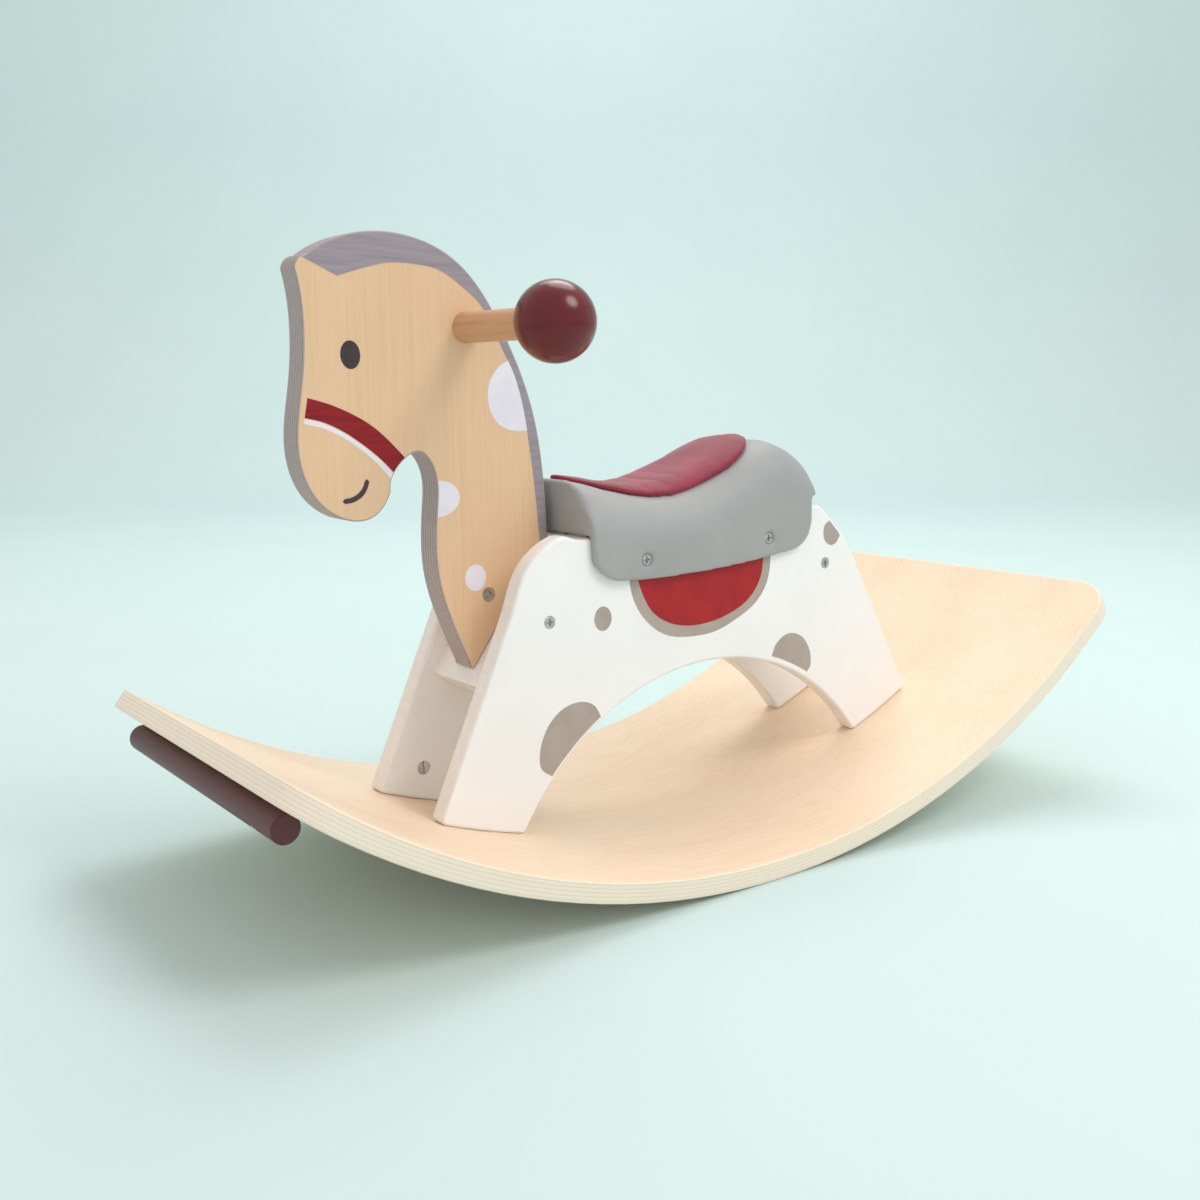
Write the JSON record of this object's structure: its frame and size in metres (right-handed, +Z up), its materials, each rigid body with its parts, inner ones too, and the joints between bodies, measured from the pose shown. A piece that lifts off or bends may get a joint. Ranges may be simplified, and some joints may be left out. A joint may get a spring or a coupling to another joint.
{
  "type": "rocking horse",
  "caption": "Wooden rocking horse: painted side panels and a plywood head on a bent plywood rocker board, with a moulded padded saddle and a ball-ended handlebar.",
  "frame": {"origin": "point where the rocker board's underside touches the floor at rest, on the middle plane", "axes": "+X towards the head, +Y to the horse's left, +Z up, at rest on a level floor"},
  "size_m": [0.7309, 0.325, 0.4272],
  "materials": {
    "birch": "satin",
    "head_birch": "satin",
    "handle_wood": "satin",
    "dowel_wood": "matte",
    "white_paint": "satin",
    "red_lacquer": "gloss",
    "stopper_red": "satin",
    "grey_plastic": "matte",
    "red_leather": "matte",
    "steel": "satin"
  },
  "bodies": {
    "root": {"rocker_board": "birch", "stopper_bar": "stopper_red", "stopper_screws": "steel", "left_side_panel": "white_paint", "right_side_panel": "white_paint", "front_cross_board": "white_paint", "rear_cross_board": "white_paint", "cross_board_dowels": "dowel_wood", "cross_board_screws": "steel", "head_panel": "head_birch", "head_dowels": "dowel_wood", "head_bolt": "steel", "head_bolt_washer": "steel", "head_cross_nut": "steel", "handle_dowel": "handle_wood", "left_knob": "red_lacquer", "right_knob": "red_lacquer", "seat_board": "birch", "seat_board_screws": "steel", "saddle_shell": "grey_plastic", "saddle_screws": "steel", "saddle_pad": "red_leather", "leg_bolts": "steel", "leg_bolt_washers": "steel", "leg_cross_nuts": "steel"}
  },
  "joints": []
}
